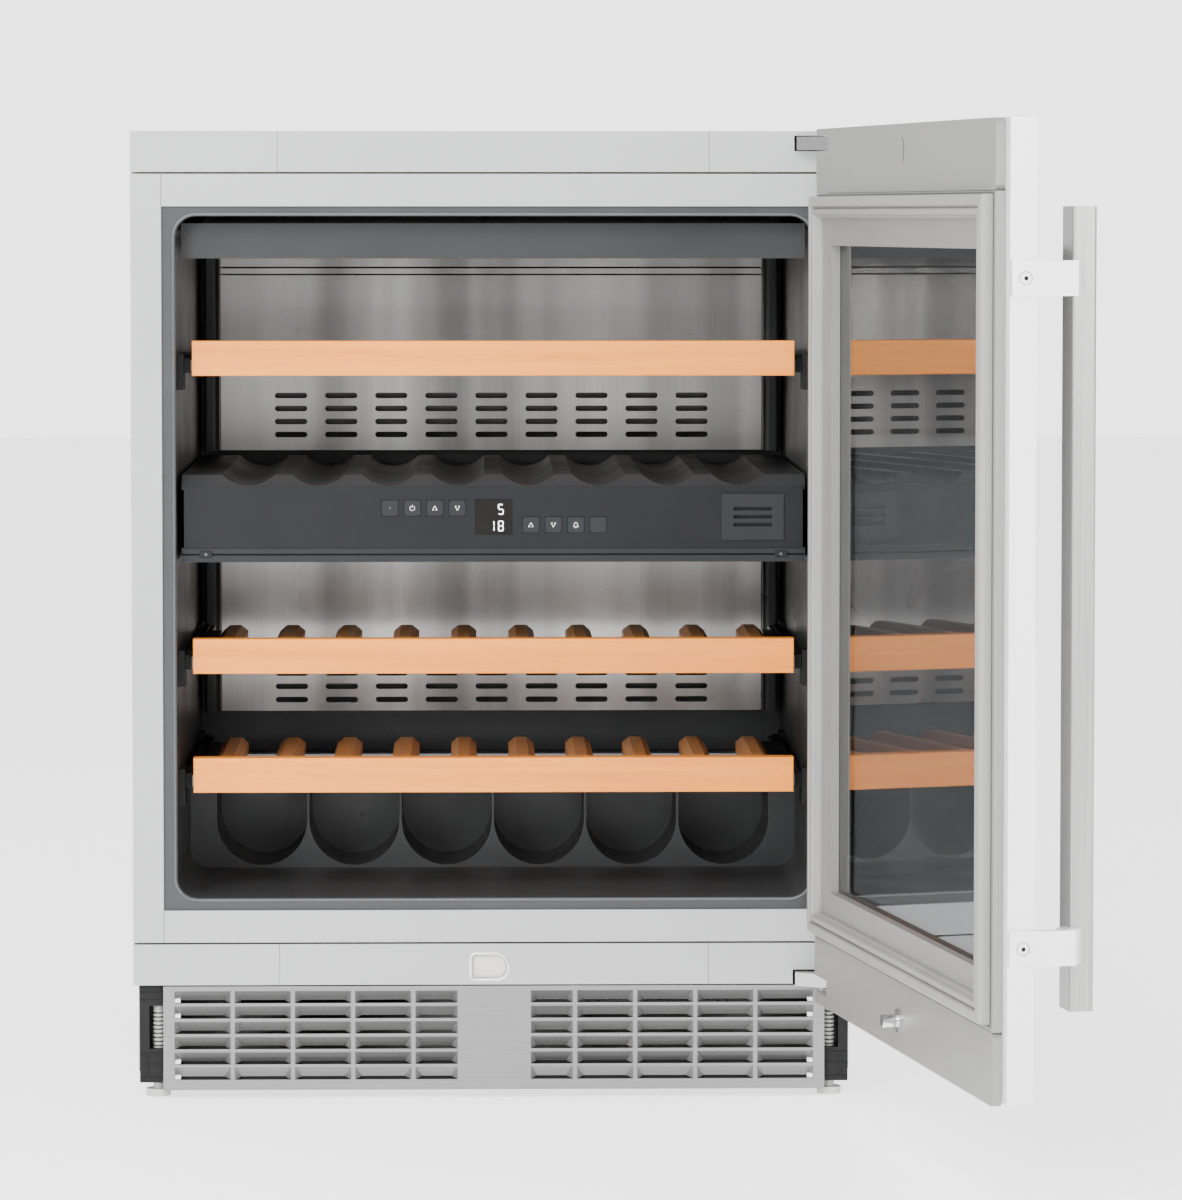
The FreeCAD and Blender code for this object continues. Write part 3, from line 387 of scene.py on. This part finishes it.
def stroke(bm, centre, x0, z0, x1, z1, width, depth):
    """A straight thick line in the XZ plane, offset from centre, all in millimetres."""
    start, end = Vector((x0, 0, z0)), Vector((x1, 0, z1))
    along = (end - start).normalized()
    side = Vector((-along.z, 0, along.x)) * width / 2
    cap = along * width * 0.2
    corners = (start - cap - side, start - cap + side, end + cap + side, end + cap - side)
    extrude(bm, [centre + corner * MM for corner in corners], Vector((0, depth * MM, 0)))


def face_point(name):
    """The middle of a node's front face."""
    low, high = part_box(name)
    return Vector(((low.x + high.x) / 2, low.y, (low.z + high.z) / 2))


def arc_points(radius, start, end, steps):
    """Points along an arc, from start to end degrees, ends included."""
    angles = [math.radians(start + (end - start) * step / steps) for step in range(steps + 1)]
    return [(radius * math.cos(angle), radius * math.sin(angle)) for angle in angles]


# ------------------------------------------------------------------ softened edges of the nodes
NODE_ANGLE = 40
for name, width in (
    ("inner_liner", 1.2), ("control_fascia", 1.0), ("divider_base", 0.6), ("shelf_1_wood", 0.7),
    ("shelf_2_wood", 0.7), ("shelf_3_wood", 0.7), ("top_rail", 0.5), ("bottom_rail", 0.5),
    ("inner_frame", 0.5), ("door_frame", 0.8), ("door_cover_top", 0.8), ("door_cover_bottom", 0.8),
    ("glass_border", 0.7), ("handle_bar", 0.9), ("handle_brackets", 0.7), ("filter_cover", 0.4),
    ("upper_fascia", 0.8), ("hinge_arms", 0.5), ("catch_pin", 0.4), ("foot_brackets", 0.5),
    ("power_inlet", 0.5), ("compressor", 0.5), ("side_panels", 0.6), ("top_panel", 0.6),
):
    bevelled(nodes[name], width, NODE_ANGLE)
for name in nodes:
    if name.startswith("button_"):
        bevelled(nodes[name], 0.7, NODE_ANGLE)

# ------------------------------------------------------------------ symbols on the buttons
UP_SHAPE = ((-1.9, -1.6, 0, 1.9), (0, 1.9, 1.9, -1.6), (-1.9, -1.6, -0.7, -1.6), (1.9, -1.6, 0.7, -1.6))
DOWN_SHAPE = tuple((x0, -z0, x1, -z1) for x0, z0, x1, z1 in UP_SHAPE)
SYMBOLS = {
    "button_upper_up": UP_SHAPE, "button_upper_down": DOWN_SHAPE,
    "button_lower_up": UP_SHAPE, "button_lower_down": DOWN_SHAPE,
    "button_alarm": (
        (-1.6, -1.3, -1.2, 1.1), (-1.2, 1.1, 0, 2.1), (0, 2.1, 1.2, 1.1), (1.2, 1.1, 1.6, -1.3),
        (-2.2, -1.5, 2.2, -1.5), (-0.5, -2.4, 0.5, -2.4)),
}
power_arc = arc_points(2.0, 130, 410, 12)
SYMBOLS["button_power"] = tuple(
    (*one, *two) for one, two in zip(power_arc, power_arc[1:])) + ((0, 0.4, 0, 2.6),)
for button, lines in SYMBOLS.items():
    bm = bmesh.new()
    for x0, z0, x1, z1 in lines:
        stroke(bm, face_point(button) - Vector((0, 0.04 * MM, 0)), x0, z0, x1, z1, 0.42, 0.05)
    add("symbol_" + button[7:], bm, "ink", button)

bm = bmesh.new()
extrude(bm, [
    face_point("button_fan") + Vector((x * MM, -0.04 * MM, z * MM)) for x, z in arc_points(0.8, 0, 342, 19)
], Vector((0, 0.05 * MM, 0)))
add("lamp_fan", bm, "shade_and_dark", "button_fan")

# ------------------------------------------------------------------ display digits
SEGMENTS = {
    "a": (-1.5, 3.95, 1.5, 3.95), "b": (1.85, 0.6, 1.85, 3.6), "c": (1.85, -3.6, 1.85, -0.6),
    "d": (-1.5, -3.95, 1.5, -3.95), "e": (-1.85, -3.6, -1.85, -0.6), "f": (-1.85, 0.6, -1.85, 3.6),
    "g": (-1.4, 0, 1.4, 0),
}
DIGITS = ((5.9, 8.6, "afgcd"), (5.9, -5.2, "abcdefg"), (-1.6, -5.2, "bc"))
bm = bmesh.new()
for across, up, lit in DIGITS:
    where = face_point("display_unit") + Vector((across * MM, -0.04 * MM, up * MM))
    for letter in lit:
        stroke(bm, where, *SEGMENTS[letter], 0.9, 0.05)
add("display_digits", bm, "glow", "cabinet")

# a thin raised edge round the display's window
low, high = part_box("display_unit")
bm = bmesh.new()
where = face_point("display_unit")
half = (high.x - low.x) / 2 / MM
tall = (high.z - low.z) / 2 / MM
for x0, z0, x1, z1 in (
    (-half, -tall, -half, tall), (half, -tall, half, tall),
    (-half, tall, half, tall), (-half, -tall, half, -tall),
):
    stroke(bm, where, x0, z0, x1, z1, 0.3, 0.3)
add("display_edge", bm, "control", "cabinet")

# ------------------------------------------------------------------ plinth grille: formed louvres
low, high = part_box("plinth_grille")
grille_half = (high.x - low.x) / 2 / MM
grille_top = high.z / MM
face = (low.y - FRONT) / MM
MARGIN, WIDE, NARROW, PITCH, ROW_PITCH = 9.2, 46.5, 35.0, 49.85, 12.75
NARROW_STARTS = (-65.3, 30.3)
starts = [-grille_half + MARGIN + PITCH * step for step in range(4)] + [*NARROW_STARTS]
starts += [grille_half - MARGIN - WIDE - PITCH * step for step in range(4)]
louvres = bmesh.new()
clips = bmesh.new()
for start in starts:
    width = NARROW if start in NARROW_STARTS else WIDE
    for row in range(6):
        top = grille_top - 3.8 - ROW_PITCH * row
        low_z = top - 8.4
        corners = [
            cab(start, face + 0.5, top), cab(start + width, face + 0.5, top),
            cab(start + width - 5.5, face + 8.4, low_z), cab(start + 5.5, face + 8.4, low_z),
            cab(start, face + 0.5, top - 10.3), cab(start + width, face + 0.5, top - 10.3),
        ]
        made = [louvres.verts.new(corner) for corner in corners]
        louvres.faces.new((made[0], made[1], made[2], made[3]))
        louvres.faces.new((made[0], made[3], made[4]))
        louvres.faces.new((made[1], made[5], made[2]))
        if row in (0, 1, 4, 5) and (start < -grille_half + 10 or start > grille_half - 60):
            left = start + (0.4 if start < 0 else width - 5.0)
            slab(clips, left, left + 4.6, top - 9.9, top - 6.4, face + 0.4, 6)
blades = add("grille_louvres", louvres, "grille", "cabinet")
shell = blades.modifiers.new("sheet", "SOLIDIFY")
shell.thickness = 0.5 * MM
shell.offset = 0
bevelled(add("grille_clips", clips, "clip", "cabinet"), 0.4)

# ------------------------------------------------------------------ latch: rounded ring, clear insert
low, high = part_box("latch_receiver")
centre = Vector(((low.x + high.x) / 2, low.y, (low.z + high.z) / 2))
half = (high.x - low.x) / 2 / MM
tall = (high.z - low.z) / 2 / MM


def d_outline(inset, back):
    """The latch's outline: small corners on the left, large ones on the right."""
    points = []
    for corner_x, corner_z, radius, start in (
        (1, 1, 10.5, 0), (-1, 1, 5.5, 90), (-1, -1, 5.5, 180), (1, -1, 10.5, 270),
    ):
        radius = radius - inset
        mid_x = corner_x * (half - inset - radius)
        mid_z = corner_z * (tall - inset - radius)
        for x, z in arc_points(radius, start, start + 90, 6):
            points.append(centre + Vector(((mid_x + x) * MM, back * MM, (mid_z + z) * MM)))
    return points


recess = (FRONT - centre.y) / MM + 4.6
ring = bmesh.new()
loops = [d_outline(inset, back) for inset, back in (
    (0, 0.9), (0.5, 0.05), (1.5, -0.05), (2.2, 0.4), (2.3, recess + 1.3))]
made = [loop_of(ring, loop) for loop in loops]
for one, two in zip(made, made[1:]):
    band(ring, one, two)
ring.faces.new(made[-1])
latch = add("latch_ring", ring, "bright", "cabinet", smooth=True)
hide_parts("latch_receiver")

insert = bmesh.new()
near = loop_of(insert, d_outline(2.5, recess + 0.3))
crown = loop_of(insert, d_outline(5.2, recess))
deep = loop_of(insert, d_outline(2.5, recess + 1.0))
band(insert, near, crown)
band(insert, near, deep)
insert.faces.new(crown)
insert.faces.new(deep)
add("latch_insert", insert, "lens", "cabinet", smooth=True)

# the rail round the latch, closing the square opening's corners
plate_mesh = bmesh.new()
outline = [plate_mesh.verts.new(point) for point in d_outline(0.3, 0.35)]
corners = [
    plate_mesh.verts.new(centre + Vector((x * (half + 0.6) * MM, 0.35 * MM, z * (tall + 0.6) * MM)))
    for x, z in ((1, 1), (-1, 1), (-1, -1), (1, -1))
]
for index, corner in enumerate(corners):
    arc = outline[index * 7:index * 7 + 7]
    for one, two in zip(arc, arc[1:]):
        plate_mesh.faces.new((corner, one, two))
    following = (index + 1) % 4
    plate_mesh.faces.new((corner, arc[-1], outline[following * 7], corners[following]))
collar = add("latch_collar", plate_mesh, "frame_grey", "cabinet")
sheet = collar.modifiers.new("sheet", "SOLIDIFY")
sheet.thickness = 0.3 * MM

# painted shade: a black plate behind the lowest louvres, darkening the gaps under them
low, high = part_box("plinth_grille")
shade_plate = bmesh.new()
slab(shade_plate, -270, 270, low.z / MM + 1, low.z / MM + 24, 11, 1.5)
add("grille_shade_plate", shade_plate, "black", "cabinet")

# shaded roots of the feet's threads
THREAD_START, THREAD_PITCH, THREAD_RADIUS = 41, 3.4, 3.62
for foot in ("foot_front_left", "foot_front_right", "foot_rear_left", "foot_rear_right"):
    low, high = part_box(foot)
    mid_x, mid_y = (low.x + high.x) / 2, (low.y + high.y) / 2
    thread = bmesh.new()
    for step in range(9):
        z = low.z + (THREAD_START + THREAD_PITCH * step) * MM
        loops = [
            [thread.verts.new(Vector((mid_x + x * MM, mid_y + y * MM, z + height * MM)))
             for x, y in arc_points(THREAD_RADIUS, 0, 345, 23)] for height in (0.05, 1.45)]
        band(thread, *loops)
    add("thread_" + foot[5:], thread, "shade_and_dark", foot, smooth=True)

# moulded ledges on the front foot brackets
low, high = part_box("foot_brackets")
ledges = bmesh.new()
for side in (-1, 1):
    near_x, far_x = side * high.x / MM, side * (high.x / MM - 19.5)
    for z, tall_z in ((85.5, 1.8), (80.2, 1.2), (34.5, 2.0), (26.0, 1.4), (14.5, 1.8)):
        slab(ledges, near_x, far_x, z, z + tall_z, 7.0, 1.2)
    slab(ledges, side * 288.5, side * 286.8, 15, 34, 7.2, 1.0)
bevelled(add("bracket_ledges", ledges, "black", "cabinet"), 0.3)

# ------------------------------------------------------------------ inside the compartments
for label in ("upper", "lower"):
    low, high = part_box("back_panel_" + label)
    edge = high.x / MM
    deep = (low.y - FRONT) / MM
    bottom, top = low.z / MM, high.z / MM
    pillars = bmesh.new()
    for side in (-1, 1):
        outline = [(0.6, 0.5)]
        outline += [(6.1 + x, y - 8.5) for x, y in arc_points(5.5, 180, 270, 6)]
        outline += [(11.5 + x, y - 11.0) for x, y in arc_points(3.0, 270, 360, 5)]
        outline.append((14.5, 0.5))
        extrude(pillars, [cab(side * (edge + x), deep + y, bottom) for x, y in outline],
                Vector((0, 0, (top - bottom) * MM)))
    add(f"corner_trim_{label}", pillars, "liner", "cabinet")

# a rounded, glossier lip round the liner's mouth, with a lighter base colour as a painted highlight along
# its bead
liner_low, liner_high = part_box("inner_liner")
lip_half = liner_high.x / MM - 10.8
lip_top = liner_high.z / MM - 7.8
lip_bottom = liner_low.z / MM + 9.6
lip_y = (liner_low.y - FRONT) / MM
LIP_RADIUS = 17
lip = bmesh.new()
rings = []
for out, forward in ((-0.1, 1.2), (0.15, 0.1), (0.9, -0.75), (1.7, -0.95), (2.5, -0.7), (3.1, 0.05)):
    loop = []
    for corner_x, corner_z, start in ((1, 1, 0), (-1, 1, 90), (-1, -1, 180), (1, -1, 270)):
        edge_x = corner_x * (lip_half - LIP_RADIUS)
        edge_z = lip_top - LIP_RADIUS if corner_z > 0 else lip_bottom + LIP_RADIUS
        for x, z in arc_points(LIP_RADIUS + out, start, start + 90, 8):
            loop.append(lip.verts.new(cab(edge_x + x, lip_y + forward, edge_z + z)))
    rings.append(loop)
for one, two in zip(rings, rings[1:]):
    band(lip, one, two)
add("liner_lip", lip, "lip", "cabinet", smooth=True)

# a folded rib across the upper steel panel
low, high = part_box("back_panel_upper")
edge, deep = high.x / MM, (low.y - FRONT) / MM
rib = bmesh.new()
extrude(rib, [
    cab(-edge + 1, deep + y, z) for y, z in ((0.2, 684.5), (-1.4, 683.2), (-1.4, 678.4), (0.2, 677.0))
], Vector(((edge * 2 - 2) * MM, 0, 0)))
add("panel_rib", rib, "steel_z", "cabinet")

# small fixing clips under the divider
clip_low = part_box("divider_base")[0]
clips = bmesh.new()
screws = bmesh.new()
for side in (-1, 1):
    x = side * 238
    z = clip_low.z / MM + 6.5
    y = (clip_low.y - FRONT) / MM
    slab(clips, x - 5.2, x + 5.2, z - 2.6, z + 2.6, y - 1.2, 3)
    extrude(screws, [cab(x + px, y - 1.5, z + pz) for px, pz in arc_points(1.2, 0, 330, 11)],
            Vector((0, 1 * MM, 0)))
bevelled(add("divider_clips", clips, "black", "cabinet"), 0.4)
add("divider_screws", screws, "guide", "cabinet")

# ------------------------------------------------------------------ door
OPEN = Matrix.Translation(PIVOT) @ Matrix.Rotation(TURN, 4, "Z") @ Matrix.Translation(-PIVOT)
SHUT = OPEN.inverted()


def shut_box(name):
    """A door node's box with the door shut."""
    obj = nodes[name]
    points = [SHUT @ (obj.matrix_world @ vertex.co) for vertex in obj.data.vertices]
    low = Vector([min(point[axis] for point in points) for axis in range(3)])
    high = Vector([max(point[axis] for point in points) for axis in range(3)])
    return low, high


low, high = shut_box("door_gasket")
base, crest = low.y, high.y
rise = crest - base
PROFILE = (
    (0.0, 0.0), (0.0, 0.62), (0.6, 0.86), (2.2, 0.95), (7.6, 1.0), (8.6, 0.90), (9.0, 0.66), (9.7, 0.62),
    (10.3, 0.80), (11.2, 0.90), (14.4, 0.90), (15.6, 0.74), (16.2, 0.48), (17.4, 0.40), (17.9, 0.2),
    (17.9, 0.0),
)
gasket = bmesh.new()
rows = []
for inset, height in PROFILE:
    step = inset * MM
    y = base + rise * height
    rows.append([gasket.verts.new(OPEN @ Vector(point)) for point in (
        (low.x + step, y, low.z + step), (high.x - step, y, low.z + step),
        (high.x - step, y, high.z - step), (low.x + step, y, high.z - step))])
for one, two in zip(rows, rows[1:] + rows[:1]):
    band(gasket, one, two)
seal = add("gasket_profile", gasket, "gasket", "door")
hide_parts("door_gasket")

# a shadow line round the gasket
shadow_line = bmesh.new()
loops = []
for wide, above in ((2.4, 1.2), (-1, -1)):
    left, right = low.x - wide * MM, high.x + wide * MM
    below, over = low.z - wide * MM, high.z + above * MM
    loops.append([shadow_line.verts.new(OPEN @ Vector((x, base + 0.12 * MM, z))) for x, z in (
        (left, below), (right, below), (right, over), (left, over))])
band(shadow_line, *loops)
add("gasket_shadow_line", shadow_line, "shade_and_dark", "door")

# painted shade: a dark crescent on the upper cover, the shaded side of its round finger recess
low, high = shut_box("door_cover_top")
recess_shade = bmesh.new()
centre_x, centre_z, plane = (low.x + high.x) / 2, high.z - 20.5 * MM, high.y
outer = arc_points(11.5, 108, 252, 18)
inner = arc_points(11.5, 252, 108, 18)
crescent = outer + [(x * 0.76 + 0.1, z * 0.985) for x, z in inner[1:-1]]
extrude(recess_shade, [
    OPEN @ Vector((centre_x + x * MM, plane - 0.3 * MM, centre_z + z * MM)) for x, z in crescent
], OPEN.to_3x3() @ Vector((0, 0.45 * MM, 0)))
add("recess_shade_crescent", recess_shade, "shade_and_dark", "door")

# painted shade on the handle's screws: dark rings round their heads and black faces in their hex sockets
low, high = shut_box("handle_brackets")
rim_shade = bmesh.new()
sockets = bmesh.new()
for centre_z in (low.z + 12.9 * MM, high.z - 12.75 * MM):
    head = Vector((shut_box("door_frame")[0].x - 6.1 * MM, FRONT - 27.5 * MM, centre_z))
    band(rim_shade, *[
        [rim_shade.verts.new(OPEN @ (head + Vector((-0.12 * MM, y * MM, z * MM))))
         for y, z in arc_points(radius, 0, 345, 23)] for radius in (5.0, 4.5)])
    sockets.faces.new([sockets.verts.new(OPEN @ (head + Vector((-0.1 * MM, y * MM, z * MM))))
                       for y, z in arc_points(2.0, 0, 300, 5)])
add("screw_rim_shade", rim_shade, "shade_and_dark", "door")
add("screw_socket_shade", sockets, "black", "door")

# ------------------------------------------------------------------ floor, lights and camera
floor_mesh = bpy.data.meshes.new("floor")
floor_bm = bmesh.new()
bmesh.ops.create_grid(floor_bm, x_segments=1, y_segments=1, size=14)
floor_bm.to_mesh(floor_mesh)
floor_bm.free()
floor = bpy.data.objects.new("floor", floor_mesh)
bpy.context.scene.collection.objects.link(floor)
floor.location = (0, 0, -0.0005)
floor_mat = material("floor_pale", (0.9, 0.9, 0.9), 0.0, 0.7,
                     Emission_Color=(1, 1, 1, 1), Emission_Strength=1.62)
floor_mesh.materials.append(floor_mat)

world = bpy.data.worlds.new("studio")
bpy.context.scene.world = world
world.use_nodes = True
sky = world.node_tree
paths = sky.nodes.new("ShaderNodeLightPath")
level = sky.nodes.new("ShaderNodeMapRange")
level.inputs["To Min"].default_value = 1.15
level.inputs["To Max"].default_value = 3.2
sky.links.new(paths.outputs["Is Camera Ray"], level.inputs["Value"])
sky.links.new(level.outputs["Result"], sky.nodes["Background"].inputs["Strength"])
sky.nodes["Background"].inputs["Color"].default_value = (1.0, 1.0, 1.0, 1)


def area_light(name, location, target, size, power, size_y=None):
    """A soft rectangular light aimed at a point."""
    data = bpy.data.lights.new(name, "AREA")
    data.shape = "RECTANGLE"
    data.size = size
    data.size_y = size_y or size
    data.energy = power
    obj = bpy.data.objects.new(name, data)
    bpy.context.scene.collection.objects.link(obj)
    obj.location = location
    way = Vector(target) - Vector(location)
    obj.rotation_euler = way.to_track_quat("-Z", "Y").to_euler()


area_light("front", (-0.9, -4.4, 3.2), (0, 0, 0.4), 3.0, 260, size_y=1.8)
area_light("key", (-2.1, -4.5, 1.5), (0, 0, 0.45), 1.5, 150)
area_light("fill", (2.3, -4.5, 1.3), (0, 0, 0.45), 1.5, 70)
area_light("overhead", (0, -0.4, 3.2), (0, 0, 0), 3.0, 35)

VIEW_BACK, VIEW_HIGH, VIEW_LEFT = 4.710, 0.729, -0.022
VIEW_DOWN, VIEW_TURN = 0.0564, -0.0217
camera_data = bpy.data.cameras.new("camera")
camera = bpy.data.objects.new("camera", camera_data)
bpy.context.scene.collection.objects.link(camera)
bpy.context.scene.camera = camera
camera_data.sensor_width = 36
camera_data.sensor_fit = "AUTO"
camera_data.lens = 171.5
camera_data.shift_y = -0.05
camera.location = (VIEW_LEFT, FRONT - VIEW_BACK, VIEW_HIGH)
camera.rotation_euler = Euler((math.pi / 2 - VIEW_DOWN, 0, VIEW_TURN), "XYZ")
camera_data.clip_start = 0.1
camera_data.clip_end = 60
